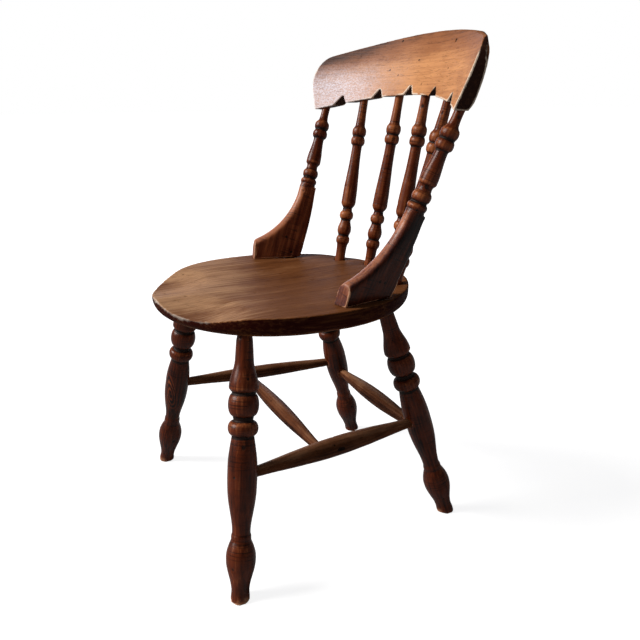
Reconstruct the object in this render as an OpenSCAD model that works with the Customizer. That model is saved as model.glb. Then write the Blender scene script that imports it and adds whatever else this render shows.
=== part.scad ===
// Victorian kitchen chair: a round saddled board seat on four turned legs, a back of four turned
// spindles between two bracket posts, and a bent crest rail with notches between the uprights.
// The seat centre is first at x = y = 0, with the front towards -y. Every piece is then moved by
// frame_y, so that the origin is at the middle of the chair's footprint, on the floor.

/* [Seat] */
// Height of the seat's top above the floor
seat_h = 434; // [380:1:500]
// Radius of the seat's rounded front, back and sides
seat_r = 205; // [190:1:230]
// Straight stretch of each side, between the round front and back
seat_oval = 26; // [0:1:40]
// How far the oval's middle lies in front of the seat centre
seat_fwd = 1.5; // [0:0.5:10]
// Thickness of the seat board
seat_t = 32; // [28:1:45]
// Radius of the rounded lower edge
seat_under_r = 18; // [8:1:22]
// Depth of the saddle's middle
saddle_depth = 7; // [2:0.5:9]
// Radius of the saddle's hollow at the seat's top
saddle_r = 146; // [120:1:148]
// How far the saddle's middle lies in front of the seat centre
saddle_fwd = 24; // [10:1:40]
// Depth of each thigh hollow at the front rim
thigh_depth = 16; // [4:1:18]
// Half of the width of each thigh hollow
thigh_w = 97; // [70:1:98]
// Angle from the front middle to each thigh hollow
thigh_a = 27; // [22:1:32]

/* [Legs] */
// Front legs: how far in from the side of the seat's edge they stand, under the seat
leg_front_in = 28.9; // [22:0.1:50]
// Front legs: distance in front of the seat centre, under the seat
leg_front_y = 123; // [100:1:130]
// Front legs: half of their spread at the floor
foot_front_x = 235; // [170:1:250]
// Front legs: distance in front of the seat centre, at the floor
foot_front_y = 183; // [140:1:210]
// Back legs: how far in from the side of the seat's edge they stand, under the seat
leg_back_in = 41.4; // [36:0.1:60]
// Back legs: distance behind the seat centre, under the seat
leg_back_y = 127; // [110:1:130]
// Back legs: half of their spread at the floor
foot_back_x = 181; // [140:1:200]
// Back legs: distance behind the seat centre, at the floor
foot_back_y = 251; // [170:1:265]
// Diameter of the tenon in the seat, and of the leg where it leaves the seat
leg_tenon_d = 23; // [20:0.5:26]
// Length of the tenon in the seat
leg_tenon_l = 23; // [16:1:24]
// Largest diameter of the cone under the seat
cone_d = 45; // [38:0.5:52]
// Diameter of the ball
ball_d = 47; // [42:0.5:56]
// Diameter of the ring under the ball
ring_d = 46.5; // [42:0.5:56]
// Largest diameter of the vase
vase_d = 46; // [42:0.5:56]
// Diameter of the neck under the vase
neck_d = 28.5; // [26:0.5:34]
// Diameter of the bulb foot
bulb_d = 47; // [42:0.5:56]
// Diameter of the ankle under the bulb
ankle_d = 28.5; // [26:0.5:34]

/* [Stretchers] */
// Height of the side stretchers and of the cross stretcher
side_z = 193.5; // [175:0.5:240]
// Height of the back stretcher
back_z = 171; // [140:1:215]
// Place of the cross stretcher, as a share of the way from the front leg to the back leg
cross_at = 0.41; // [0.3:0.01:0.6]
// Largest diameter of the right side stretcher
side_right_d = 32.5; // [24:0.5:36]
// Largest diameter of the left side stretcher
side_left_d = 27; // [24:0.5:36]
// Largest diameter of the cross stretcher
cross_d = 28; // [24:0.5:34]
// Largest diameter of the back stretcher
back_d = 31; // [26:0.5:36]
// Diameter of the tenons of the side and back stretchers
str_tenon_d = 17; // [13:0.5:18]
// Diameter of the tenons of the cross stretcher
cross_tenon_d = 15; // [11:0.5:16]
// How far a stretcher's tenon reaches past the middle line of what holds it, less than zero when short of it
str_reach = -5; // [-10:0.5:-3]

/* [Uprights] */
// Posts: how far in from the side of the seat's edge they stand
post_in = 26.4; // [20:0.1:38]
// Posts: distance of their middle line behind the seat centre, at the seat
post_y = 90; // [80:1:100]
// Posts: half of their spread at the crest rail
post_u = 203; // [180:1:204]
// Inner spindles: half of their spread at the seat
inner_x = 39.5; // [30:0.5:45]
// Inner spindles: how far in from the back of the seat's edge they stand
inner_in = 15.7; // [14.5:0.1:30]
// Inner spindles: half of their spread at the crest rail
inner_u = 38.5; // [32:0.5:45]
// Outer spindles: how far in from the posts they stand, at the seat
outer_gap = 64; // [58:0.5:74]
// Outer spindles: how far in from the back of the seat's edge they stand
outer_in = 25; // [20:0.5:36]
// Outer spindles: half of their spread at the crest rail
outer_u = 125; // [110:1:128]
// Diameter of the beads of a spindle
spindle_bead_d = 26; // [22:0.5:30]
// Largest diameter of a spindle's shaft
spindle_shaft_d = 27; // [22:0.5:30]
// Diameter of a spindle where it meets the seat
spindle_foot_d = 18.5; // [16:0.5:22]
// Diameter of an upright where it meets the crest rail
upright_top_d = 15; // [12:0.5:16]
// How far an upright goes into the crest rail
crest_tenon_l = 12; // [10:1:14]
// How far a spindle or a post goes into the seat
foot_tenon_l = 19; // [14:1:20]
// Diameter of a post's tenon in the seat
post_tenon_d = 16; // [13:0.5:18]
// Diameter of a post's beads
post_bead_d = 28; // [26:0.5:32]
// Diameter of the collar above a bracket
collar_d = 31; // [30:0.5:36]
// Distance along the post from the seat to the top of its bracket
bracket_top = 137; // [120:1:150]

/* [Brackets] */
// Thickness of a bracket
bracket_t = 25; // [22:0.5:28]
// Length of a bracket in front of the post's middle line, at the seat
bracket_front = 76; // [65:1:88]
// Length of a bracket behind the post's middle line, at the seat
bracket_back = 17; // [14:1:20]
// How much the front end of a bracket leans back
bracket_lean = 8; // [0:1:12]
// How much a bracket turns its front end outwards
bracket_toe = 12; // [6:0.5:14]
// Height of the front end of a bracket, in the middle of its thickness
bracket_nose = 36; // [32:1:46]
// Radius of the hollow front curve of a bracket
bracket_curve_r = 150; // [135:1:190]
// Height of the rounded crown on the front edge of a bracket
bracket_crown = 12; // [4:0.5:12.5]
// Radius of the back edge of a bracket, which bulges a little
bracket_back_r = 600; // [400:10:1200]

/* [Crest rail] */
// Height of the middle of the crest rail's lower edge above the seat, at its front face
crest_up = 287.5; // [260:0.5:340]
// Distance of that point behind the seat centre
crest_y = 234; // [215:1:250]
// Angle by which the crest rail leans back
crest_rake = 23.5; // [18:0.5:26]
// Radius of the bend of the front face
crest_r = 451; // [420:1:600]
// Thickness of the crest rail where its back starts to round over
crest_t = 21.5; // [20:0.5:28]
// Height of the crest rail in its middle
crest_h = 93; // [80:1:120]
// Height above the lower edge at which the back starts to round over
crest_round_h = 15; // [5:1:40]
// Radius of the rounding of the back
crest_round_r = 230; // [220:5:400]
// Angle by which the back face flares below its rounding
crest_foot_flare = 2; // [0:0.5:4]
// Half of the length of the lower edge
crest_half = 212.5; // [210:0.5:225]
// Radius of the arch of the lower edge
arch_r = 1040; // [800:5:1600]
// Radius of the arch of the top edge
top_r = 985; // [700:5:1600]
// Angle by which each end leans outwards, seen square to the board there
end_flare = 22; // [12:1:28]
// Radius of the two upper corners
corner_r = 42; // [25:1:45]
// Flat on the crest rail's top, before the bevel at its back
top_flat = 2; // [1:0.5:4]
// Slope of the bevel at the back of the crest rail's top
top_bevel = 40; // [20:1:45]
// Half of the width of a notch
notch_w = 12.7; // [8:0.1:14]
// Height of a notch
notch_h = 15.5; // [10:0.5:20]

/* [Screws] */
// Diameter of a bracket screw's shank
screw_d = 4.8; // [4:0.1:5.5]
// Length of a bracket screw
screw_l = 50; // [46:1:56]
// Diameter of a bracket screw's head
screw_head_d = 9.4; // [8:0.1:11]
// How deep a screw's head sits in the underside of the seat
screw_sunk = 2; // [0.5:0.5:4]
// Distance of a screw in front of the post's middle line
screw_at = 48; // [40:1:56]

/* [Fits] */
// Gap all round a tenon in its socket
tenon_gap = 0.15; // [0.05:0.05:0.4]
// Depth left free under the end of a tenon
socket_spare = 1; // [0.5:0.5:3]
// Gap between a bracket and the seat under it
bracket_gap = 0.2; // [0.1:0.05:0.4]

/* [Hidden] */
$fn = 96;
big = 400;      // reach of a cutting block past what it cuts
over = 1;       // overshoot of a cut through a face

crest_z = seat_h + crest_up;
seat_front = seat_fwd + seat_oval / 2 + seat_r;
crest_back = crest_xyz(0, crest_z + crest_h, crest_back_d(crest_h / cos(crest_rake)))[1];
// Moves the middle of the chair's footprint to the origin
frame_y = (seat_front - crest_back) / 2;
under_z = seat_h - seat_t;

// How far the back face of the crest rail lies behind its front face, at s up along the raked board
function crest_back_d(s) =
    s < crest_round_h ? crest_t + (crest_round_h - s) * tan(crest_foot_flare) :
    crest_t - crest_round_r + sqrt(crest_round_r ^ 2 - (s - crest_round_h) ^ 2);

// ---- points of the construction, about the seat centre

// A point of the crest rail: x sideways, z above the floor, d behind its front face
function crest_xyz(x, z, d) =
    let (w = sqrt((crest_r + d) ^ 2 - x ^ 2) - crest_r,
         s = (z - crest_z + w * sin(crest_rake)) / cos(crest_rake))
    [x, crest_y + w * cos(crest_rake) + s * sin(crest_rake), z];
// Drop of the arched lower edge at x
function arch_drop(x) = sqrt(arch_r ^ 2 - x ^ 2) - arch_r;
// Where an upright's middle line meets the crest rail's lower edge
function upright_top(x) = crest_xyz(x, crest_z + arch_drop(x), crest_t / 2 + 1);

// Half of the seat's width at y, and the place of its back edge at x
function seat_side(y) = sqrt(seat_r ^ 2 - max(0, abs(y + seat_fwd) - seat_oval / 2) ^ 2);
function seat_back(x) = seat_oval / 2 - seat_fwd + sqrt(seat_r ^ 2 - x ^ 2);
leg_front_x = seat_side(-leg_front_y) - leg_front_in;
leg_back_x = seat_side(leg_back_y) - leg_back_in;
post_x = seat_side(post_y) - post_in;
outer_x = post_x - outer_gap;
inner_y = seat_back(inner_x) - inner_in;
outer_y = seat_back(outer_x) - outer_in;

post_foot = [post_x, post_y, seat_h];
post_head = upright_top(post_u);
spindle_foot = [[-outer_x, outer_y, seat_h], [-inner_x, inner_y, seat_h],
                [inner_x, inner_y, seat_h], [outer_x, outer_y, seat_h]];
spindle_u = [-outer_u, -inner_u, inner_u, outer_u];

// Middle line of a leg: side is -1 or 1, and front is true for a front leg
function leg_head(side, front) =
    front ? [side * leg_front_x, -leg_front_y, under_z] : [side * leg_back_x, leg_back_y, under_z];
function leg_foot(side, front) =
    front ? [side * foot_front_x, -foot_front_y, 0] : [side * foot_back_x, foot_back_y, 0];
// Point of a leg's middle line at height z
function on_leg(side, front, z) =
    let (k = z / under_z)
    leg_foot(side, front) * (1 - k) + leg_head(side, front) * k;
function side_end(side, front) = on_leg(side, front, side_z);
function cross_end(side) = side_end(side, true) * (1 - cross_at) + side_end(side, false) * cross_at;

// ---- outlines of turned stretches: [radius, distance along the piece]

// Smooth step from r0 to r1, which starts slowly when ease is above 1
function step(s0, s1, r0, r1, ease = 1, n = 10) =
    [for (i = [0:n]) let (t = i / n)
        [r0 + (r1 - r0) * (1 - cos(180 * t ^ ease)) / 2, s0 + (s1 - s0) * t]];
// Quick swell from r0, level at r1
function swell(s0, s1, r0, r1, n = 8) =
    [for (i = [0:n]) let (t = i / n) [r0 + (r1 - r0) * sin(90 * t), s0 + (s1 - s0) * t]];
// Rounded bead of radius r1 that stands on radius r0
function bead(s0, s1, r0, r1, n = 10) =
    [for (i = [0:n]) let (a = 180 * i / n)
        [r0 + (r1 - r0) * sin(a), (s0 + s1) / 2 - (s1 - s0) / 2 * cos(a)]];

// Straight taper, flared cone, ball, ring, vase, neck ring, bulb and ankle, from the seat down
leg_straight = 4;
cone_s = 36;
cone_end = 80;
ball_s = 88;
ball_end = 122;
ring_s = 130;
ring_end = 152;
vase_s = 153;
vase_max = 208;
// Lengths that are kept at the foot, measured up from the floor
neck_up = 110;
bulb_up = 98;
bulb_max_up = 70;
ankle_up = 14;
// The left legs differ from the right ones, as they were turned by eye
left_low = 4;
left_neck_up = 7;
left_bulb_up = 3;
// Length that is sawn off level at the floor
foot_spare = 20;
function leg_turning(l, side) =
    let (low = side < 0 ? left_low : 0, neck = l - neck_up - (side < 0 ? left_neck_up : 0),
         bulb = l - bulb_up - (side < 0 ? left_bulb_up : 0),
         bulb_max = l - bulb_max_up - (side < 0 ? left_bulb_up : 0))
    concat(
    [[leg_tenon_d / 2, -leg_tenon_l], [leg_tenon_d / 2, leg_straight], [leg_tenon_d / 2 + 1, 9]],
    step(cone_s + low, cone_end + low, leg_tenon_d / 2 + 2.5, cone_d / 2),
    [[cone_d / 2 - 1, cone_end + 2 + low], [cone_d / 2 - 5.5, ball_s - 1 + low]],
    bead(ball_s + low, ball_end + low, ball_d / 2 - 7, ball_d / 2),
    [[ball_d / 2 - 7.5, ball_end + 1 + low], [ball_d / 2 - 8, ball_end + 4 + low],
     [ball_d / 2 - 9, ring_s - 1 + low]],
    bead(ring_s + low, ring_end + low, ring_d / 2 - 7, ring_d / 2),
    swell(vase_s + low, vase_max, vase_d / 2 - 6, vase_d / 2),
    step(vase_max + 6, neck, vase_d / 2, neck_d / 2, 1.4, 14),
    [[neck_d / 2 + 1.4, neck + 4], [neck_d / 2 + 1.6, bulb]],
    swell(bulb + 1, bulb_max, neck_d / 2 + 2.4, bulb_d / 2),
    step(bulb_max + 2, l - ankle_up, bulb_d / 2, ankle_d / 2),
    [[ankle_d / 2 + 0.8, l - ankle_up + 8], [ankle_d / 2 + 0.8, l + foot_spare]]);

// Foot, bead, vase, bead, cove, shaft, pair of beads and neck, from the seat up
s_bead_d = 35.5;
s_vase = 44;
s_vase_end = 73;
s_bead_c = 81.5;
s_shaft = 98;
s_bead_half = 7;
// Lengths that are kept at the top, measured down from the crest rail
s_pair_down = 71;
s_pair_gap = 16;
// Straight end of an upright of length l, with its tenon
function upright_end(l) =
    [[upright_top_d / 2, l - 14], [upright_top_d / 2, l + crest_tenon_l]];
function spindle_turning(l) =
    let (b = spindle_bead_d / 2, f = spindle_foot_d / 2, pair = l - s_pair_down)
    concat(
    [[f, -foot_tenon_l], [f, 14], [f + 0.5, 24], [f + 1.2, s_bead_d - s_bead_half]],
    bead(s_bead_d - s_bead_half, s_bead_d + s_bead_half, f + 1, b),
    swell(s_vase, s_vase + 10, f + 0.6, b, 6),
    step(s_vase + 12, s_vase_end, b, f, 1, 8),
    bead(s_bead_c - s_bead_half, s_bead_c + s_bead_half, f + 0.4, b),
    [[f - 0.4, s_shaft - 6], [f - 0.8, s_shaft - 2.5], [spindle_shaft_d / 2 - 1.5, s_shaft + 2]],
    [[spindle_shaft_d / 2, s_shaft + 6], [spindle_shaft_d / 2, s_shaft + 9]],
    step(s_shaft + 14, pair - s_bead_half - 1, spindle_shaft_d / 2 - 0.2, upright_top_d / 2 + 1.6, 0.85, 10),
    bead(pair - s_bead_half, pair + s_bead_half, upright_top_d / 2 + 2.6, b),
    bead(pair + s_pair_gap - s_bead_half, pair + s_pair_gap + s_bead_half, upright_top_d / 2 + 3.2, b),
    [[upright_top_d / 2 + 1.4, pair + s_pair_gap + s_bead_half + 4]],
    upright_end(l));

// Collar, ring, cove, shaft, pair of beads and neck of a post, from the bracket up
collar_l = 11;
p_ring = 24.5;
p_cove = 38.5;
p_shaft = 45.5;
p_pair_down = 50;
p_pair_gap = 16;
function post_turning(l) =
    let (b = post_bead_d / 2, c = collar_d / 2, s = bracket_top, pair = l - p_pair_down)
    concat(
    [[bracket_t / 2 - 2, s - 14], [bracket_t / 2 - 0.5, s + 0.5], [c - 1.2, s + 1], [c - 1.2, s + 3]],
    [[c - 2.2, s + 3.6]],
    bead(s + 4, s + 4 + collar_l, c - 4, c),
    bead(s + p_ring - 7.5, s + p_ring + 7.5, c - 4.4, c - 0.7),
    step(s + p_ring + 8.5, s + p_cove, c - 4.6, c - 5.2, 1, 4),
    step(s + p_cove + 1.5, s + p_shaft, c - 5, b - 0.2, 1, 6),
    step(s + p_shaft + 5, pair - 8, b - 0.2, upright_top_d / 2 + 2.2, 0.9, 10),
    bead(pair - 7, pair + 7, upright_top_d / 2 + 3, b),
    bead(pair + p_pair_gap - 7, pair + p_pair_gap + 7, upright_top_d / 2 + 3.4, b),
    [[upright_top_d / 2 + 0.9, pair + p_pair_gap + 11]],
    upright_end(l));

// Half of a stretcher's outline, from its end to its middle; neck is where the tenon ends
function stretcher_half(l, neck, d_end, d_mid) = concat(
    [[d_end / 2, neck]],
    step(neck + 4, l / 2, d_end / 2 + 0.4, d_mid / 2, 0.72, 12));

// ---- placing

// Moves a piece from the seat centre's frame to the chair's own frame
module framed() translate([0, frame_y, 0]) children();

// Puts the local z axis on the line from a to b, with its zero at a
module along(a, b) {
    v = b - a;
    translate(a)
        rotate([0, acos(v[2] / norm(v)), atan2(v[1], v[0])])
            children();
}

module turned(points) {
    last = points[len(points) - 1][1];
    rotate_extrude()
        polygon(concat([[0, points[0][1]]], points, [[0, last]]));
}

// ---- sockets; each is larger all round than what it takes, and deeper

module foot_socket(foot, head, d)
    along(foot, head)
        translate([0, 0, -foot_tenon_l - socket_spare])
            rotate([0, 0, 90]) cylinder(d = d + 2 * tenon_gap, h = foot_tenon_l + socket_spare + 8);

module head_socket(foot, head)
    along(head, 2 * head - foot)
        translate([0, 0, -12])
            cylinder(d = upright_top_d + 2 * tenon_gap, h = crest_tenon_l + socket_spare + 12);

module leg_socket(side, front)
    along(leg_head(side, front), 2 * leg_head(side, front) - leg_foot(side, front))
        translate([0, 0, -8])
            rotate([0, 0, 90])
                cylinder(d = leg_tenon_d + 2 * tenon_gap, h = leg_tenon_l + socket_spare + 8);

// The sockets for the two ends of a stretcher of diameter d whose middle line runs from a to b
module stretcher_sockets(a, b, d) {
    l = norm(b - a);
    end = -str_reach - socket_spare;
    along(a, b) {
        translate([0, 0, end]) cylinder(d = d + 2 * tenon_gap, h = 60);
        translate([0, 0, l - end - 60]) cylinder(d = d + 2 * tenon_gap, h = 60);
    }
}

// ---- seat

module seat_section() {
    square([seat_r - seat_under_r, seat_t]);
    translate([0, seat_under_r]) square([seat_r, seat_t - seat_under_r]);
    translate([seat_r - seat_under_r, seat_under_r]) circle(r = seat_under_r);
}

module half_section() intersection() {
    seat_section();
    square([seat_r + over, seat_t]);
}

module seat_board() translate([0, -seat_fwd, under_z]) {
    translate([0, seat_oval / 2, 0]) rotate_extrude(angle = 180, $fn = 180) half_section();
    translate([0, -seat_oval / 2, 0])
        rotate([0, 0, 180]) rotate_extrude(angle = 180, $fn = 180) half_section();
    for (m = [0, 1])
        mirror([m, 0, 0])
            translate([0, seat_oval / 2, 0])
                rotate([90, 0, 0])
                    linear_extrude(seat_oval) half_section();
}

// Ball that cuts a round hollow of depth d and radius r in the seat's top
module hollow(d, r) {
    ball_r = (r ^ 2 + d ^ 2) / (2 * d);
    translate([0, 0, seat_h - d + ball_r]) rotate([90, 0, 0]) sphere(r = ball_r, $fn = 180);
}

module saddle() {
    translate([0, -saddle_fwd, 0]) hollow(saddle_depth, saddle_r);
    for (side = [-1, 1])
        translate([side * seat_r * sin(thigh_a), -seat_fwd - seat_oval / 2 - seat_r * cos(thigh_a), 0])
            hollow(thigh_depth, thigh_w);
}

module seat() color([0.36, 0.20, 0.12]) framed() difference() {
    seat_board();
    saddle();
    for (side = [-1, 1], front = [true, false])
        leg_socket(side, front);
    for (i = [0:3])
        foot_socket(spindle_foot[i], upright_top(spindle_u[i]), spindle_foot_d);
    for (m = [0, 1])
        mirror([m, 0, 0]) {
            foot_socket(post_foot, post_head, post_tenon_d);
            screw(tenon_gap, screw_sunk + over);
        }
}

// ---- legs

module leg(side, front) color([0.34, 0.13, 0.06]) framed() difference() {
    head = leg_head(side, front);
    foot = leg_foot(side, front);
    along(head, foot) turned(leg_turning(norm(foot - head), side));
    translate([-big, -big, -big]) cube([2 * big, 2 * big, big]);
    stretcher_sockets(side_end(side, true), side_end(side, false), str_tenon_d);
    if (!front)
        stretcher_sockets(on_leg(-1, false, back_z), on_leg(1, false, back_z), str_tenon_d);
}

module leg_front_left() leg(-1, true);
module leg_front_right() leg(1, true);
module leg_back_left() leg(-1, false);
module leg_back_right() leg(1, false);

// ---- stretchers

// Distance from a leg's middle line at which a tenon comes out of it
leg_out = vase_d / 2 + 3;
function side_d(side) = side > 0 ? side_right_d : side_left_d;

module stretcher(a, b, neck, d_tenon, d_mid) {
    l = norm(b - a);
    half = stretcher_half(l, neck, d_tenon, d_mid);
    n = len(half);
    along(a, b) turned(concat([[d_tenon / 2, -str_reach]], half,
        [for (i = [2:n]) [half[n - i][0], l - half[n - i][1]]], [[d_tenon / 2, l + str_reach]]));
}

module stretcher_side(side) color([0.38, 0.22, 0.12]) framed() difference() {
    stretcher(side_end(side, true), side_end(side, false), leg_out, str_tenon_d, side_d(side));
    stretcher_sockets(cross_end(-1), cross_end(1), cross_tenon_d);
}

module stretcher_side_left() stretcher_side(-1);
module stretcher_side_right() stretcher_side(1);
module stretcher_cross() color([0.38, 0.22, 0.12]) framed()
    stretcher(cross_end(-1), cross_end(1), side_right_d / 2 + 1, cross_tenon_d, cross_d);
module stretcher_back() color([0.36, 0.17, 0.09]) framed()
    stretcher(on_leg(-1, false, back_z), on_leg(1, false, back_z), leg_out, str_tenon_d, back_d);

// ---- spindles

module spindle(i) color([0.36, 0.13, 0.07]) framed() {
    foot = spindle_foot[i];
    head = upright_top(spindle_u[i]);
    along(foot, head) turned(spindle_turning(norm(head - foot)));
}

module spindle_1() spindle(0);
module spindle_2() spindle(1);
module spindle_3() spindle(2);
module spindle_4() spindle(3);

// ---- posts with their brackets

// The bracket's plane holds the post's middle line: x runs forward in it, y up, z through it
post_dir = (post_head - post_foot) / norm(post_head - post_foot);
fore = [sin(bracket_toe), -cos(bracket_toe), 0];
out = [cos(bracket_toe), sin(bracket_toe), 0];
bracket_tilt = atan2(post_dir * out, post_dir[2]);
post_a = post_dir * fore;
post_h = sqrt(1 - post_a ^ 2);
// Ends of the bracket's top cut, square to the post
top_mid = bracket_top * [post_a, post_h];
top_front = top_mid + (collar_d / 2 - 0.5) * [post_h, -post_a];
top_back = top_mid - (collar_d / 2 - 0.5) * [post_h, -post_a];
nose = [bracket_front - bracket_nose * tan(bracket_lean), bracket_nose];
heel = [-bracket_back, 0];

// Centre of the circle of radius r through a and b that lies to the right of the way from a to b
function arc_centre(a, b, r) =
    let (d = b - a, l = norm(d))
    (a + b) / 2 + sqrt(r ^ 2 - l ^ 2 / 4) * [d[1], -d[0]] / l;

module bracket_frame()
    translate(post_foot)
        rotate([0, 0, bracket_toe - 90])
            rotate([90 - bracket_tilt, 0, 0])
                children();

// Sheave whose groove leaves the rounded crown on the bracket's front edge
module crown_cutter() {
    crown_r = ((bracket_t / 2) ^ 2 + bracket_crown ^ 2) / (2 * bracket_crown);
    translate(arc_centre(nose, top_front, -bracket_curve_r))
        rotate_extrude($fn = 180) difference() {
            translate([0, -bracket_t / 2 - 2]) square([bracket_curve_r + crown_r, bracket_t + 4]);
            translate([bracket_curve_r + crown_r, 0]) circle(r = crown_r);
        }
}

module bracket() bracket_frame() difference() {
    intersection() {
        translate([0, 0, -bracket_t / 2])
            linear_extrude(bracket_t)
                polygon([[bracket_front + 10 * tan(bracket_lean), -10],
                         nose + 20 * [-tan(bracket_lean), 1],
                         top_front, top_back, top_back - [bracket_t / 2, 0],
                         heel - [bracket_t / 2, 0], heel - [0, 10]]);
        translate(arc_centre(heel, top_back, bracket_back_r))
            cylinder(r = bracket_back_r, h = 2 * bracket_t, center = true, $fn = 360);
    }
    crown_cutter();
}

module post() difference() {
    union() {
        along(post_foot, post_head) turned(post_turning(norm(post_head - post_foot)));
        difference() {
            bracket();
            translate([-big, -big, seat_h + bracket_gap - big]) cube([2 * big, 2 * big, big]);
        }
        along(post_foot, post_head)
            translate([0, 0, -foot_tenon_l])
                rotate([0, 0, 90]) cylinder(d = post_tenon_d, h = foot_tenon_l + 20);
    }
    screw(tenon_gap, 0);
}

module post_left() color([0.33, 0.14, 0.07]) framed() mirror([1, 0, 0]) post();
module post_right() color([0.33, 0.14, 0.07]) framed() post();

// ---- screws that hold the front ends of the brackets, driven up through the seat

screw_head_h = (screw_head_d - screw_d) / 2;
screw_slot_w = 1.2;
screw_slot_deep = 1.2;
screw_xy = [post_x, post_y] + screw_at * [fore[0], fore[1]];

// One screw; gap is added all round, and below takes its head's hole down out of the seat
module screw(gap, below) translate([screw_xy[0], screw_xy[1], under_z + screw_sunk]) {
    if (below > 0)
        translate([0, 0, -below]) cylinder(d = screw_head_d + 2 * gap, h = below);
    cylinder(d1 = screw_head_d + 2 * gap, d2 = screw_d + 2 * gap, h = screw_head_h);
    cylinder(d = screw_d + 2 * gap, h = screw_l + (gap > 0 ? socket_spare : 0));
}

module bracket_screws() color([0.45, 0.43, 0.40]) framed()
    for (m = [0, 1])
        mirror([m, 0, 0]) difference() {
            screw(0, 0);
            translate([screw_xy[0], screw_xy[1], under_z + screw_sunk])
                cube([screw_head_d + over, screw_slot_w, 2 * screw_slot_deep], center = true);
        }

// ---- crest rail

// The two arches and the notches are sawn level, from front to back
top_mid_z = crest_h - top_r;
function top_z(x) = top_mid_z + sqrt(top_r ^ 2 - x ^ 2);
module crest_arches() difference() {
    intersection() {
        translate([0, top_mid_z]) circle(r = top_r, $fn = 360);
        translate([-big, -big / 2]) square([2 * big, big]);
    }
    translate([0, -arch_r]) circle(r = arch_r, $fn = 360);
    notches();
}

// Each end is sawn square to the bent board. Its outline is seen along the cut, with its zero at
// the lower corner of the front face: a leaning line, a round corner, and a line along the top.
end_turn = asin(crest_half / crest_r);
end_pivot = crest_xyz(crest_half, crest_z + arch_drop(crest_half), 0);
top_touch = crest_xyz(crest_half - 10, crest_z + top_z(crest_half - 10), 0) - end_pivot;
touch = [top_touch * [cos(end_turn), -sin(end_turn), 0], top_touch[2]];
top_fall = atan(tan(asin((crest_half - 10) / top_r)) * cos(end_turn));
end_dir = [sin(end_flare), cos(end_flare)];
end_in = [-cos(end_flare), sin(end_flare)];
top_down = [-sin(top_fall), -cos(top_fall)];
// Centre of the corner's circle, corner_r inside both lines
corner_k = (corner_r * (1 - end_in * top_down) + touch * top_down) / (end_dir * top_down);
corner_mid = corner_r * end_in + corner_k * end_dir;
module crest_end()
    polygon(concat(
        [[-2 * big, -3 * big], -3 * big * end_dir],
        [for (i = [0:8]) let (a = 90 + end_flare - (90 + end_flare - top_fall) * i / 8)
            corner_mid + corner_r * [sin(a), cos(a)]],
        [corner_mid - corner_r * top_down - 2 * big * [cos(top_fall), -sin(top_fall)]]));

// The outline, moved outwards by out and taken through the board, falling towards the back
top_clear = 6;      // keeps the bevel's cut off the ends
module crest_cut(fall, out)
    translate(end_pivot)
        rotate([90 - fall, 0, -end_turn])
            linear_extrude(3 * big, center = true)
                translate([out, 0])
                    scale([1, cos(fall - crest_rake) / cos(crest_rake)]) crest_end();

// Notches halfway between neighbouring uprights
upright_u = [-post_u, -outer_u, -inner_u, inner_u, outer_u, post_u];
module notches()
    for (i = [0:4]) {
        x = (upright_u[i] + upright_u[i + 1]) / 2;
        translate([x, arch_drop(x)])
            polygon([[-notch_w * 1.5, -notch_h / 2], [0, notch_h], [notch_w * 1.5, -notch_h / 2]]);
    }

// The bent board, before it is sawn to its outline: its section is turned about the axis of its bend
crest_low = -60;
crest_high = 115;
crest_sweep = 80;
module crest_board()
    translate([0, crest_y, crest_z])
        rotate([-crest_rake, 0, 0])
            translate([0, -crest_r, 0])
                rotate([0, 0, 90 - crest_sweep / 2])
                    rotate_extrude(angle = crest_sweep, $fn = 360)
                        polygon(concat(
                            [[crest_r, crest_low], [crest_r + crest_back_d(crest_low), crest_low]],
                            [for (i = [0:8]) let (s = crest_round_h + (crest_high - crest_round_h) * i / 8)
                                [crest_r + crest_back_d(s), s]],
                            [[crest_r, crest_high]]));

module crest_rail() color([0.55, 0.30, 0.15]) framed() difference() {
    intersection() {
        crest_board();
        translate([0, crest_y + 100, crest_z])
            rotate([90, 0, 0])
                linear_extrude(big) crest_arches();
        intersection_for (m = [0, 1])
            mirror([m, 0, 0])
                intersection() {
                    crest_cut(0, 0);
                    translate([0, top_flat, 0]) crest_cut(crest_rake + top_bevel, top_clear);
                }
    }
    for (i = [0:3])
        head_socket(spindle_foot[i], upright_top(spindle_u[i]));
    for (m = [0, 1])
        mirror([m, 0, 0]) head_socket(post_foot, post_head);
}

seat();
crest_rail();
post_left();
post_right();
spindle_1();
spindle_2();
spindle_3();
spindle_4();
leg_front_left();
leg_front_right();
leg_back_left();
leg_back_right();
stretcher_side_left();
stretcher_side_right();
stretcher_cross();
stretcher_back();
bracket_screws();
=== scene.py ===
import bpy
import math
import numpy as np
from mathutils import Matrix, Vector

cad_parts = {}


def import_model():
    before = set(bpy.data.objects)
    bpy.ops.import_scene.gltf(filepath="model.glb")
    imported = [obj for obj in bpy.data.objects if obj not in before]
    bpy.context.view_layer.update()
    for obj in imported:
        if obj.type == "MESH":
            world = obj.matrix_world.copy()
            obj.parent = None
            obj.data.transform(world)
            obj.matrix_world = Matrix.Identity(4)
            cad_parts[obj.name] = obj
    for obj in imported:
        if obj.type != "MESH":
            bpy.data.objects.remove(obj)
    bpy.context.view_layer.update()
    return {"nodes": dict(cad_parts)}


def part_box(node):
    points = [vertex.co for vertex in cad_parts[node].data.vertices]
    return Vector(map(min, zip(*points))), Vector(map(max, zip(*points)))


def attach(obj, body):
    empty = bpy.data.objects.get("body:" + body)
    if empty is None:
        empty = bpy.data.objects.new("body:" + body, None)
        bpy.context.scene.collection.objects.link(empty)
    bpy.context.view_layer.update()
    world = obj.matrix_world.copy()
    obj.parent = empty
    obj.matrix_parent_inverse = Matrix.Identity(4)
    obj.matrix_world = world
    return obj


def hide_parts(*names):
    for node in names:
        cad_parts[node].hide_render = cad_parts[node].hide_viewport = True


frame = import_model()
nodes = frame["nodes"]
scene = bpy.context.scene

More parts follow.
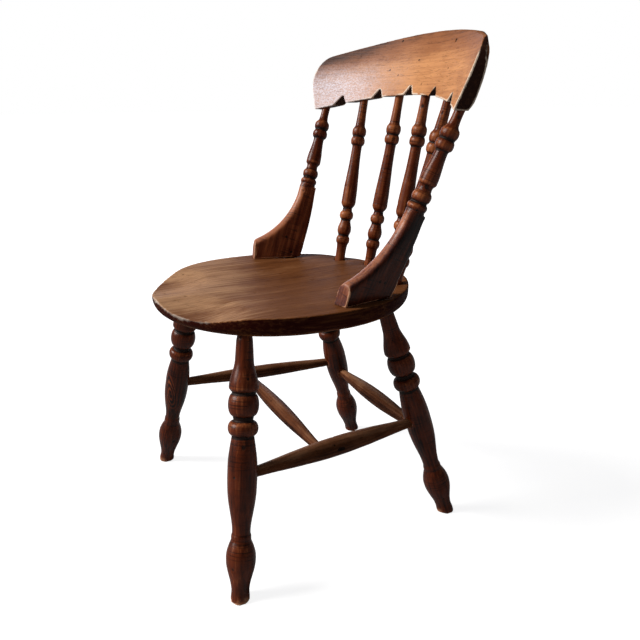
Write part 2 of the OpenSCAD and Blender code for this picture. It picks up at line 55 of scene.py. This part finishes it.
COARSE = 1.0
SOFT = 700     # rounds of averaging that soften the saddle
SEAT_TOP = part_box("seat")[1][2]


# ---- arrays, noise and masks

HASH = np.array([374761393, 668265263, 1103515245])


def step(x, low, high):
    """Smooth step from 0 at low to 1 at high"""
    t = np.clip((x - low) / (high - low), 0, 1)
    return t * t * (3 - 2 * t)


def lattice(p, seed):
    """Smooth noise from -1 to 1 at the points p, with one wave per unit"""
    i = np.floor(p).astype(np.int64)
    f = p - i
    f = f * f * (3 - 2 * f)
    total = np.zeros(len(p))
    for corner in np.ndindex(2, 2, 2):
        w = np.prod(np.where(corner, f, 1 - f), axis=1)
        h = (i + corner) @ HASH + seed * 974634777
        h = (h ^ (h >> 13)) * 1274126177
        h = h ^ (h >> 16)
        total += w * ((h & 0xffff) / 32767.5 - 1)
    return total


def layers(p, seed, octaves=3):
    """A few octaves of that noise"""
    total = np.zeros(len(p))
    for k in range(octaves):
        total += lattice(p * 2 ** k + 17.3 * k, seed + k) / 2 ** k
    return total / 1.6


def unit(v):
    """v, one long"""
    v = np.asarray(v, float)
    return v / np.linalg.norm(v)


class Skin:
    """An even skin over a CAD node, held as arrays until it becomes a piece"""

    def __init__(self, node, voxel, rounds):
        self.node = node
        self.cad = self.points(nodes[node].data)
        self.ob = bpy.data.objects.new(node + "_wood", nodes[node].data.copy())
        scene.collection.objects.link(self.ob)
        skin = self.ob.modifiers.new("skin", "REMESH")
        skin.mode = "VOXEL"
        skin.voxel_size = voxel * COARSE
        skin.use_smooth_shade = True
        ease = self.ob.modifiers.new("ease", "SMOOTH")
        ease.factor = 0.5
        ease.iterations = rounds
        graph = bpy.context.evaluated_depsgraph_get()
        mesh = bpy.data.meshes.new_from_object(self.ob.evaluated_get(graph))
        self.ob.modifiers.clear()
        self.ob.data = mesh
        mesh.materials.clear()
        self.co = self.points(mesh)
        ends = np.empty(len(mesh.edges) * 2, np.int32)
        mesh.edges.foreach_get("vertices", ends)
        self.edges = ends.reshape(-1, 2)
        self.degree = np.maximum(np.bincount(self.edges.ravel(), minlength=len(self.co)), 1)
        self.measure()

    @staticmethod
    def points(mesh):
        """The places of a mesh's vertices, one row each"""
        co = np.empty(len(mesh.vertices) * 3)
        mesh.vertices.foreach_get("co", co)
        return co.reshape(-1, 3)

    def measure(self):
        """Normals, and how far each point bulges: over 0 on an arris, under 0 in a groove, in 1/m"""
        self.ob.data.vertices.foreach_set("co", self.co.ravel())
        self.ob.data.update()
        no = np.empty(len(self.co) * 3)
        self.ob.data.vertices.foreach_get("normal", no)
        self.no = no.reshape(-1, 3)
        a, b = self.edges.T
        d = self.co[b] - self.co[a]
        squared = np.maximum((d ** 2).sum(1), 1e-12)
        k = np.bincount(a, (d * self.no[a]).sum(1) / squared, len(self.co))
        k -= np.bincount(b, (d * self.no[b]).sum(1) / squared, len(self.co))
        self.bulge = self.even(-2 * k / self.degree, 3)

    def even(self, x, rounds):
        """x, averaged with its neighbours"""
        a, b = self.edges.T
        for _ in range(rounds):
            near = np.bincount(a, x[b], len(x)) + np.bincount(b, x[a], len(x))
            x = 0.5 * x + 0.5 * near / self.degree
        return x

    def push(self, depth):
        """Moves each point outwards by depth"""
        self.co = self.co + self.no * np.asarray(depth)[:, None]
        self.measure()

    def along(self, axis, middle):
        """Sets the grain's direction: two widths and the length, in metres"""
        axis = unit(axis)
        aside = [0.31, 0.95, 0.02] if abs(axis[1]) < 0.8 else [1, 0, 0]
        side = unit(np.cross(axis, aside))
        self.grain = (self.co - middle) @ np.array([side, np.cross(axis, side), axis]).T

    def dents(self, spots):
        """Sinks small round dents, each a place, a radius and a depth, and gives their depth"""
        depth = np.zeros(len(self.co))
        for place, radius, deep in spots:
            d = np.linalg.norm(self.co - np.array(place), axis=1)
            depth = np.maximum(depth, deep * (1 - step(d, 0.15 * radius, radius)))
        self.push(-depth)
        return depth

    def strewn(self, count, seed, radius, deep, low=-math.inf):
        """Dents strewn over the surface that is higher than low"""
        rng = np.random.default_rng(seed)
        at = rng.choice(np.flatnonzero(self.co[:, 2] > low), count)
        return [(self.co[i], radius * rng.uniform(0.5, 1.6), deep * rng.uniform(0.4, 1.3)) for i in at]

    def finish(self, slot, **fields):
        """Makes the piece, with its fields for the material"""
        mesh = self.ob.data
        grain = mesh.attributes.new("grain", "FLOAT_VECTOR", "POINT")
        grain.data.foreach_set("vector", self.grain.astype(np.float32).ravel())
        for name in ("tone", "wear", "grime_and_shade", "bloom_and_sheen"):
            value = fields.get(name, np.zeros(len(self.co)))
            layer = mesh.attributes.new(name, "FLOAT", "POINT")
            layer.data.foreach_set("value", np.clip(value, 0, 1).astype(np.float32))
        mesh.materials.append(woods[slot])
        mesh.shade_smooth()
        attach(self.ob, "root")
        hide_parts(self.node)


# ---- materials

# Dirt, and the painted shade that darkens grooves and hollows
DIRT_AND_SHADE = (0.006, 0.0035, 0.0025, 1)
FLY_SPOT = (0.012, 0.006, 0.004, 1)
# A whitish lilac bloom in the varnish, which also serves as a painted sheen
BLOOM_AND_SHEEN = (0.91, 0.84, 0.91, 1)

# The tones deep, body and pale, what shows where they are rubbed through, and the figure's size
LOOKS = {
    "seat_wood": dict(
        deep=(0.030, 0.0030, 0.0014), body=(0.200, 0.072, 0.024), pale=(0.58, 0.320, 0.165),
        bare=(0.86, 0.76, 0.66), fibre=2.0, ring=0.06, ring_scale=(30, 12, 1.1), figured=0.85,
        gloss=0.03, rough=0.55),
    "crest_wood": dict(
        deep=(0.030, 0.008, 0.004), body=(0.33, 0.125, 0.050), pale=(0.68, 0.315, 0.130),
        bare=(0.90, 0.72, 0.56), fibre=1.8, ring=0.06, ring_scale=(46, 22, 1.0), figured=0.55,
        gloss=0.10, rough=0.50),
    "turned_wood": dict(
        deep=(0.006, 0.0005, 0.0002), body=(0.122, 0.0210, 0.0048), pale=(0.46, 0.145, 0.047),
        bare=(0.66, 0.34, 0.19), fibre=1.4, ring=0.1, ring_scale=(55, 55, 1.6), figured=0.95,
        gloss=0.24, rough=0.33, turning=0.75, relief=0.3),
    "stretcher_wood": dict(
        deep=(0.010, 0.0013, 0.0006), body=(0.120, 0.038, 0.014), pale=(0.30, 0.140, 0.070),
        bare=(0.48, 0.30, 0.19), fibre=1.6, ring=0.15, ring_scale=(55, 55, 1.6), figured=0.9,
        gloss=0.06, rough=0.44),
}


class Graph:
    """Short names for a material's nodes"""

    def __init__(self, name):
        self.material = bpy.data.materials.new(name)
        self.material.use_nodes = True
        self.tree = self.material.node_tree
        self.tree.nodes.clear()

    def node(self, kind, inputs=None, **settings):
        n = self.tree.nodes.new("ShaderNode" + kind)
        for key, value in settings.items():
            setattr(n, key, value)
        for key, value in (inputs or {}).items():
            self.give(n.inputs[key], value)
        return n

    def give(self, socket, value):
        """Links value to the socket, or sets it there"""
        if isinstance(value, bpy.types.NodeSocket):
            self.tree.links.new(value, socket)
        else:
            socket.default_value = value

    def field(self, name):
        return self.node("Attribute", attribute_name=name).outputs["Fac"]

    def grain(self, scale, **settings):
        """The grain's own directions; scale is waves per metre in the two widths and the length"""
        vector = self.node("Attribute", attribute_name="grain").outputs["Vector"]
        return self.node("Mapping", {"Vector": vector, "Scale": scale, **settings}).outputs[0]

    def plus(self, a, b, clamp=False):
        return self.node("Math", {0: a, 1: b}, operation="ADD", use_clamp=clamp).outputs[0]

    def times(self, a, b):
        return self.node("Math", {0: a, 1: b}, operation="MULTIPLY").outputs[0]

    def about(self, x, middle, strength):
        """How far x is from middle, times strength"""
        return self.times(self.node("Math", {0: x, 1: middle}, operation="SUBTRACT").outputs[0], strength)

    def spread(self, x, low, high, to_low=0.0, to_high=1.0):
        """Smooth step from to_low where x is low to to_high where it is high"""
        inputs = {"Value": x, "From Min": low, "From Max": high, "To Min": to_low, "To Max": to_high}
        return self.node("MapRange", inputs, interpolation_type="SMOOTHSTEP").outputs["Result"]

    def noise(self, scale, detail, rough, bend=0.0):
        inputs = {"Vector": self.grain(scale), "Scale": 1.0, "Detail": detail, "Roughness": rough,
                  "Distortion": bend}
        return self.node("TexNoise", inputs).outputs["Fac"]

    def rings(self, scale):
        """Growth rings round an axis beside the piece"""
        inputs = {"Vector": self.grain(scale, Location=(3.1, -7.3, 0.4)), "Scale": 1.0, "Distortion": 5.0,
                  "Detail": 2.5, "Detail Scale": 0.7, "Detail Roughness": 0.55}
        return self.node("TexWave", inputs, wave_type="RINGS", rings_direction="Z",
                         wave_profile="SIN").outputs["Fac"]

    def mix(self, factor, a, b):
        n = self.node("Mix", {"Factor": factor}, data_type="RGBA")
        self.give(n.inputs[6], a)
        self.give(n.inputs[7], b)
        return n.outputs[2]

    def finish(self, shader):
        self.give(self.node("OutputMaterial").inputs["Surface"], shader.outputs[0])
        return self.material


def wood(name, deep, body, pale, bare, fibre, ring, ring_scale, figured, gloss, rough, turning=0.0,
         relief=0.55):
    """Old stained and varnished wood, with four fields from its piece: tone, which also holds painted
    light; wear; dirt, with painted shade in grooves; and a varnish bloom, with a painted sheen
    """
    g = Graph(name)
    deep, body, pale, bare = ((*colour, 1.0) for colour in (deep, body, pale, bare))
    cloud = g.noise((22, 22, 9), 4, 0.6)

    # Streaks and growth rings
    streak = g.noise((150 * fibre, 150 * fibre, 5), 5, 0.6, 0.3)
    figure = g.plus(g.times(streak, 1 - ring), g.times(g.rings(ring_scale), ring))
    tone = g.plus(g.field("tone"), g.about(cloud, 0.5, 0.55))
    tone = g.plus(tone, g.about(figure, 0.5, figured), clamp=True)
    colour = g.mix(g.spread(tone, 0.0, 0.55), deep, body)
    colour = g.mix(g.spread(tone, 0.45, 1.0), colour, pale)

    # Dark pores, and marks that the turner's tool left round the piece
    pore = g.spread(g.noise((800, 800, 55), 3, 0.6), 0.56, 0.7)
    colour = g.mix(g.times(pore, 0.5), colour, deep)
    cuts = g.times(g.spread(g.noise((9, 9, 430), 3, 0.6), 0.52, 0.66), turning)
    cuts = g.times(cuts, g.spread(g.noise((30, 30, 16), 2, 0.5), 0.42, 0.6))
    colour = g.mix(cuts, colour, deep)

    # Rubbed edges, some with a painted highlight; dirt, with painted shade in grooves and hollows; fly
    # spots; and a white bloom in the varnish, with a painted sheen
    rub = g.spread(g.plus(g.field("wear"), g.about(cloud, 0.55, 0.9)), 0.25, 0.75)
    rub = g.times(rub, g.spread(g.field("wear"), 0.0, 0.3))
    colour = g.mix(g.times(rub, 0.85), colour, bare)
    dirt_and_shade = g.spread(g.plus(g.field("grime_and_shade"), g.about(cloud, 0.5, 0.5)), 0.15, 0.8)
    dirt_and_shade = g.times(dirt_and_shade, g.spread(g.field("grime_and_shade"), 0.0, 0.2))
    colour = g.mix(g.times(dirt_and_shade, 0.88), colour, DIRT_AND_SHADE)
    spots = g.times(g.spread(g.noise((420, 420, 260), 2, 0.5), 0.69, 0.74), 0.6)
    colour = g.mix(spots, colour, FLY_SPOT)
    # The bloom's speckle, which also breaks up the painted sheen
    speckle = g.spread(g.noise((420, 420, 260), 4, 0.65), 0.40, 0.62, 0.45, 1.0)
    colour = g.mix(g.times(g.times(g.field("bloom_and_sheen"), speckle), 0.92), colour, BLOOM_AND_SHEEN)

    # Wear, and dirt with its painted shade, are duller than the varnish
    dull = g.plus(g.times(cloud, 0.22), rough - 0.11)
    dull = g.plus(dull, g.times(rub, 0.16))
    dull = g.plus(dull, g.times(dirt_and_shade, 0.25), clamp=True)

    height = g.plus(g.times(streak, 0.35), g.times(pore, -0.5))
    height = g.plus(height, g.times(cloud, 0.3))
    height = g.plus(height, g.times(g.plus(spots, cuts), -0.5))
    bump = g.node("Bump", {"Height": height, "Strength": relief, "Distance": 0.0005})
    return g.finish(g.node("BsdfPrincipled", {
        "Base Color": colour, "Roughness": dull, "Normal": bump.outputs[0],
        "Specular IOR Level": gloss, "IOR": 1.45}))


def steel():
    """Dull old screw steel, browned in patches"""
    g = Graph("screw_steel")
    rust = g.node("TexNoise", {"Scale": 900.0, "Detail": 5.0}).outputs["Fac"]
    colour = g.mix(g.spread(rust, 0.42, 0.62), (0.22, 0.2, 0.18, 1), (0.10, 0.035, 0.015, 1))
    bump = g.node("Bump", {"Height": rust, "Strength": 0.4, "Distance": 0.0003})
    return g.finish(g.node("BsdfPrincipled", {
        "Base Color": colour, "Metallic": 0.8, "Normal": bump.outputs[0],
        "Roughness": g.spread(rust, 0.3, 0.7, 0.4, 0.75)}))


woods = {slot: wood(slot, **look) for slot, look in LOOKS.items()}


# ---- turned pieces

# How much lighter than the rest each kind is stained
STAIN = {"leg": -0.08, "spindle": 0.05, "post": -0.02, "stretcher": 0.0}
KNOT_AT = (0.192, -0.011, 0.1955)
FIGURE_AT = (-0.179, -0.203, 0.176)


def worn_foot(s, middle, axis, seed):
    """Chips a leg's lower end, and gives how near each point is to it"""
    near = 1 - step(s.co[:, 2], 0.004, 0.03)
    chip = np.maximum(layers(s.co * 90, seed, 2), 0) * near
    outward = s.co - middle - np.outer((s.co - middle) @ axis, axis)
    s.co = s.co - 0.0022 * chip[:, None] * outward / np.linalg.norm(outward, axis=1)[:, None]
    s.co[:, 2] = np.maximum(s.co[:, 2], 0)
    s.measure()
    return near


def turned(node, voxel, seed):
    """The skin of a turned piece with its grain, its fields and the noise that they share"""
    kind = node.split("_")[0]
    stretcher = kind == "stretcher"
    s = Skin(node, voxel, 1)
    # A post's axis comes from above its bracket
    stem = s.cad[s.cad[:, 2] > SEAT_TOP + 0.166] if kind == "post" else s.cad
    middle = stem.mean(0)
    axis = np.linalg.svd(stem - middle, full_matrices=False)[2][0]
    axis = axis * (1 if axis[2] > 0 or stretcher else -1)

    p = s.co
    s.push(0.0003 * layers(p * 28, seed, 2) + 0.00012 * layers(p * 120, seed + 5, 2))
    pit = 0.0006
    pits = s.dents(s.strewn(10 if stretcher else 16, seed, 0.0035, pit)) / pit
    foot = worn_foot(s, middle, axis, seed + 9) if kind == "leg" else np.zeros(len(s.co))
    s.along(axis, middle - seed * np.array([0.1, 0.07, 0.13]))

    up = s.no[:, 2]
    rough = layers(s.co * 45, seed + 3)
    broad = s.even(s.bulge, 22)
    # Upward faces are painted lighter, a painted light from above, and swells lighter still, a painted
    # highlight
    if stretcher:
        tone = 0.30 + 0.42 * step(up, 0.1, 0.9) + 0.12 * rough
    else:
        tone = 0.42 + 0.22 * up + 0.15 * rough
    tone = tone + 0.26 * step(broad, 30, 110) + STAIN[kind]
    wear = 0.6 * step(s.bulge, 70, 300) + 0.55 * foot * step(rough, -0.4, 0.5) + 0.25 * step(up, 0.5, 1)
    # Grooves are darkened by dirt and by painted shade
    grime_and_shade = step(-s.bulge, 20, 110) + 1.25 * step(-broad, 1, 20) + 0.6 * pits
    if not stretcher:
        patches = step(layers(s.co * [30, 30, 16], seed + 11), 0.05, 0.75)
        grime_and_shade = grime_and_shade + 0.42 * patches * (1 - step(broad, 20, 70))
    return s, dict(tone=tone, wear=wear, grime_and_shade=grime_and_shade), rough


def plain(node, voxel, seed, slot):
    """A leg, spindle or stretcher"""
    s, fields, rough = turned(node, voxel, seed)
    if node == "stretcher_side_right":
        d = (s.co - np.array(KNOT_AT)) * [1, 0.55, 1.3]
        knot = 1 - step(np.linalg.norm(d, axis=1), 0.0030, 0.0062)
        fields["grime_and_shade"] = np.maximum(fields["grime_and_shade"], 1.3 * knot)
        s.push(-0.0006 * knot)
    if node == "stretcher_cross":
        fields["tone"] = fields["tone"] - 0.16
    if node == "leg_front_left":
        # Oval figure on the swell of the leg
        ring = np.linalg.norm((s.co - np.array(FIGURE_AT)) * [1, 1, 0.28], axis=1)
        oval = np.cos(ring * 1500 + 1.5 * rough) * (1 - step(ring, 0.010, 0.017))
        fields["tone"] = fields["tone"] + 0.30 * oval
    s.finish(slot, **fields)


for i, place in enumerate(("front_left", "front_right", "back_left", "back_right")):
    plain("leg_" + place, 0.0015, 3 + i, "turned_wood")
for i in range(1, 5):
    plain("spindle_%d" % i, 0.00115, 20 + i, "turned_wood")
for i, place in enumerate(("side_left", "side_right", "cross", "back")):
    plain("stretcher_" + place, 0.0016, 30 + i, "stretcher_wood")


# ---- posts with their brackets

def rounded_edge(s):
    """Rubs the bracket's upper edge quite round, short of its foot, its front end and the collar"""
    y, rise = s.co[:, 1].copy(), s.co[:, 2] - SEAT_TOP
    soft = step(rise, 0.016, 0.028) * (1 - step(rise, 0.111, 0.126))
    soft = soft * step(y, y.min() + 0.002, y.min() + 0.012)
    for k in range(3):
        s.co[:, k] += soft * (s.even(s.co[:, k], 40) - s.co[:, k])
    s.measure()


def post(node, seed, side_tone, outward):
    """side_tone is the bracket's on its faces, and outward is 1 if its outer face looks along +X"""
    s, fields, rough = turned(node, 0.00135, seed)
    rounded_edge(s)
    y, rise = s.co[:, 1].copy(), s.co[:, 2] - SEAT_TOP
    front = y.min()
    low = 1 - step(rise, 0.121, 0.141)
    end = step(-s.no[:, 1], 0.9, 0.97) * (1 - step(y, front + 0.004, front + 0.009))
    # The crown is painted lighter and given a sheen: a painted highlight
    lit_crown = step(s.no[:, 2] - 0.6 * s.no[:, 1], 0.45, 1.0) * low * (1 - end)
    # The outer face is painted darker: painted shade
    outer = step(outward * s.no[:, 0], 0.6, 0.85) * low
    arris = step(s.even(s.bulge, 3), 45, 150) * low
    side = (side_tone + 0.16 * rough) * (1 - 0.35 * outer)
    fields["tone"] = fields["tone"] * (1 - low) + low * (side + 0.5 * lit_crown + 0.1 * end)
    fields["wear"] = np.maximum(fields["wear"] * (1 - low), 0.95 * arris * step(rough, -0.5, 0.4))
    if node == "post_left":
        # The front end's inner arris is rubbed pale
        rubbed = (1 - step(y, front + 0.004, front + 0.008)) * step(s.no[:, 0], -0.1, 0.4)
        fields["wear"] = np.maximum(fields["wear"], rubbed * step(rise, 0.003, 0.011))
    fields["grime_and_shade"] = fields["grime_and_shade"] * (1 - 0.5 * low) + 0.30 * end * (0.6 + 0.5 * rough)
    fields["bloom_and_sheen"] = 0.09 * lit_crown + 0.05 * end
    s.finish("turned_wood", **fields)


post("post_left", 41, 0.60, -1)
post("post_right", 47, 0.30, 1)


# ---- seat

def soften_saddle(s):
    """Lets the saddle's hollows run out softly, while the rim keeps its height"""
    z = s.co[:, 2] - SEAT_TOP
    deep = np.maximum(-z, 0)
    top = step(s.no[:, 2], 0.35, 0.6) * step(z, -0.026, -0.020)
    share = s.even(top, SOFT) + 1e-6
    raised = 0.95 * top * (deep - s.even(deep * top, SOFT) / share)
    lift = s.even(raised, 6) / np.maximum(s.even(top, 6), 0.25)
    s.co[:, 2] += lift * step(z, -0.032, -0.018)
    s.measure()


def upper(s):
    """1 on the seat's top and 0 on its side and underside"""
    return step(s.no[:, 2], 0.3, 0.8) * step(s.co[:, 2] - SEAT_TOP, -0.019, -0.009)


def seat():
    s = Skin("seat", 0.0022, 4)
    soften_saddle(s)
    p = s.co
    s.push(upper(s) * 0.0004 * layers(p * 14, 61, 2) + 0.0001 * layers(p * 90, 62, 2))
    pit = 0.0005
    pits = s.dents(s.strewn(40, 63, 0.004, pit, SEAT_TOP - 0.014)) / pit
    s.along((0, 1, 0), np.array([0.9, 0.4, 0.2]))

    x, y, z = s.co.T
    top = upper(s)
    under = step(-s.no[:, 2], 0.5, 0.9)
    rough = layers(s.co * 22, 64)
    # The top is lighter towards the front: rubbed wear, with a painted pool of light
    worn_and_lit = step(-y - 0.25 * x, 0.02, 0.20)
    tone = top * (0.44 + 0.40 * worn_and_lit + 0.08 * rough) + (1 - top) * (0.06 + 0.05 * rough + 0.25 * under)
    # The pale line where legs have rubbed the front edge, which is also a painted highlight along its
    # arris
    rubbed_highlight_line = step(x, -0.13, -0.04) * (1 - step(x, 0.12, 0.16)) * step(-y, 0.1, 0.15)
    arris = step(s.even(s.bulge, 5), 40, 120) * step(z - SEAT_TOP, -0.029, -0.018)
    wear = arris * (0.2 * step(rough, -0.7, 0.3) + 0.34 * rubbed_highlight_line)
    grime_and_shade = step(-s.bulge, 40, 160) + 0.5 * pits + 0.3 * (1 - top) * (1 - under)
    s.finish("seat_wood", tone=tone, wear=wear, grime_and_shade=grime_and_shade)


seat()


# ---- crest rail

CREST_LEAN = math.radians(23.5)
CREST_BEND = 0.451                            # radius of the board's bent front
CREST_Y, CREST_Z = 0.204, SEAT_TOP + 0.2875   # where its leaning frame starts
# Place, radius and depth of each
CREST_DENTS = [((-0.0685, 0.2354, 0.8070), 0.0032, 0.0012), ((0.0897, 0.2266, 0.7960), 0.0040, 0.0016),
               ((-0.0047, 0.2269, 0.7742), 0.0028, 0.0010), ((0.1015, 0.2069, 0.7572), 0.0026, 0.0010),
               ((-0.0737, 0.2151, 0.7622), 0.0030, 0.0010), ((-0.0475, 0.2151, 0.7533), 0.0026, 0.0009)]


def thin_corners(s):
    """Thins the board from behind towards its upper corners, and a little at its lower ones"""
    x = s.co[:, 0]
    dy, dz = s.co[:, 1] - CREST_Y, s.co[:, 2] - CREST_Z
    across = dy * math.cos(CREST_LEAN) - dz * math.sin(CREST_LEAN) + CREST_BEND
    rise = dy * math.sin(CREST_LEAN) + dz * math.cos(CREST_LEAN)
    radial = np.hypot(x, across)
    thin = step(rise, -0.03, 0.05) * step(np.abs(x), 0.16, 0.222) * 0.36
    thin = thin + 0.16 * (1 - step(rise, -0.046, -0.028)) * step(np.abs(x), 0.19, 0.22)
    pull = -np.maximum(radial - CREST_BEND, 0) * thin / radial
    s.co += np.stack([x * pull, across * math.cos(CREST_LEAN) * pull,
                      -across * math.sin(CREST_LEAN) * pull], axis=1)
    s.measure()


def crest():
    s = Skin("crest_rail", 0.00165, 3)
    thin_corners(s)
    p = s.co
    s.push(0.00025 * layers(p * 16, 71, 2) + 0.00008 * layers(p * [30, 30, 300], 72, 2))
    front = step(-s.no[:, 1], 0.3, 0.7)
    marks = s.dents(CREST_DENTS) / 0.001
    pit = 0.0004
    pits = s.dents(s.strewn(26, 73, 0.0026, pit)) / pit
    x, y, z = s.co.T
    # The grain follows the bend
    depth = y + CREST_BEND - np.sqrt(CREST_BEND ** 2 - x ** 2)
    length = CREST_BEND * np.arcsin(np.clip(x / CREST_BEND, -1, 1))
    s.grain = np.stack([z, depth, length], axis=1) + [0.3, 0.5, 0.7]

    rough = layers(s.co * 25, 74)
    back = step(s.no[:, 1], 0.2, 0.6)
    end = step(s.no[:, 0] * np.sign(x), 0.15, 0.4) * (1 - back)
    # The underside and notch walls are darkened like the ends: darker stain, with painted shade
    sawn_and_shaded = (1 - step(-s.no[:, 1], 0.25, 0.55)) * (1 - back) * (1 - step(s.no[:, 2], 0.2, 0.5))
    end = np.maximum(end, 0.9 * sawn_and_shaded)
    rise = z - CREST_Z
    high = rise - 0.0685 + 0.5 * x * x + 0.012 * rough
    tone = 0.80 + 0.10 * rough - 0.78 * end - 0.42 * back * (1 - end)
    tone = tone - (0.40 + 0.30 * step(-x, 0.0, 0.16)) * front * step(high, -0.026, 0.026)
    tone = tone - 0.25 * step(s.no[:, 2], 0.75, 0.95)
    wear = step(s.even(s.bulge, 3), 40, 130) * step(rough, -0.9, 0.1)
    wear = wear * (1 - 0.8 * step(high, 0.0, 0.02))
    grime_and_shade = step(-s.bulge, 60, 220) + 0.5 * pits + marks + 0.45 * end
    # The front's left side and lower left turn whitish lilac: a speckled varnish bloom, with a painted
    # reflection of the light
    low_left_sheen = step(-x, 0.06, 0.19) * (1 - step(rise, 0.0135, 0.0635))
    bloom_and_sheen = 0.29 * step(-x, -0.03, 0.12) * (1 - 0.85 * step(high, -0.05, 0.01)) + 0.85 * low_left_sheen
    s.finish("crest_wood", tone=tone, wear=wear, grime_and_shade=grime_and_shade, bloom_and_sheen=front * bloom_and_sheen)


crest()

screws = nodes["bracket_screws"]
screws.data.materials.clear()
screws.data.materials.append(steel())


# ---- floor, light and camera

def floor(reach=60):
    """A wide grey floor that looks white to the camera and still takes the chair's shadow"""
    mesh = bpy.data.meshes.new("floor")
    corners = [(-reach, -reach, 0), (reach, -reach, 0), (reach, reach, 0), (-reach, reach, 0)]
    mesh.from_pydata(corners, [], [(0, 1, 2, 3)])
    ob = bpy.data.objects.new("floor", mesh)
    scene.collection.objects.link(ob)
    g = Graph("floor_white")
    diffuse = g.node("BsdfDiffuse", {"Color": (0.5, 0.5, 0.5, 1)})
    seen = g.node("LightPath").outputs["Is Camera Ray"]
    glow = g.node("Emission", {"Color": (1, 1, 1, 1), "Strength": g.times(seen, 0.85)})
    mesh.materials.append(g.finish(g.node("AddShader", {0: diffuse.outputs[0], 1: glow.outputs[0]})))


def world():
    """A dim cool room that looks white to the camera"""
    studio = bpy.data.worlds.new("studio")
    scene.world = studio
    studio.use_nodes = True
    tree = studio.node_tree
    tree.nodes.clear()
    room = tree.nodes.new("ShaderNodeBackground")
    room.inputs["Color"].default_value = (0.92, 0.95, 1.0, 1)
    room.inputs["Strength"].default_value = 0.10
    white = tree.nodes.new("ShaderNodeBackground")
    white.inputs["Color"].default_value = (1, 1, 1, 1)
    white.inputs["Strength"].default_value = 1.0
    path = tree.nodes.new("ShaderNodeLightPath")
    mix = tree.nodes.new("ShaderNodeMixShader")
    out = tree.nodes.new("ShaderNodeOutputWorld")
    tree.links.new(path.outputs["Is Camera Ray"], mix.inputs[0])
    tree.links.new(room.outputs[0], mix.inputs[1])
    tree.links.new(white.outputs[0], mix.inputs[2])
    tree.links.new(mix.outputs[0], out.inputs["Surface"])


def lamp(name, kind, place, aim, energy, colour, **settings):
    light = bpy.data.lights.new(name, kind)
    light.energy = energy
    light.color = colour
    for key, value in settings.items():
        setattr(light, key, value)
    ob = bpy.data.objects.new(name, light)
    ob.location = place
    ob.rotation_euler = (Vector(aim) - Vector(place)).to_track_quat("-Z", "Y").to_euler()
    scene.collection.objects.link(ob)


def camera():
    yaw, pitch, roll = (math.radians(a) for a in (65.259, -23.919, -0.533))
    place = (0.96258, -0.44192, 0.71027)
    ahead = Vector((-math.sin(yaw) * math.cos(pitch), math.cos(yaw) * math.cos(pitch), math.sin(pitch)))
    right = Vector((math.cos(yaw), math.sin(yaw), 0))
    up = right.cross(ahead)
    side = right * math.cos(roll) + up * math.sin(roll)
    top = up * math.cos(roll) - right * math.sin(roll)
    cam = bpy.data.cameras.new("camera")
    cam.sensor_width = 36
    cam.lens = 35.09
    cam.shift_x = 0.0318
    cam.shift_y = 0.0938
    ob = bpy.data.objects.new("camera", cam)
    turn = Matrix((side, top, -ahead)).transposed()
    ob.matrix_world = Matrix.Translation(place) @ turn.to_4x4()
    scene.collection.objects.link(ob)
    scene.camera = ob


floor()
world()
lamp("key", "SUN", (-1.05, -2.6, 2.1), (0, 0, 0.4), 3.5, (1.0, 0.975, 0.95), angle=math.radians(24))
lamp("side", "AREA", (-2.3, 0.7, 0.95), (0, 0, 0.5), 11, (0.86, 0.86, 1.0), size=1.5)
camera()
scene.view_settings.view_transform = "Standard"
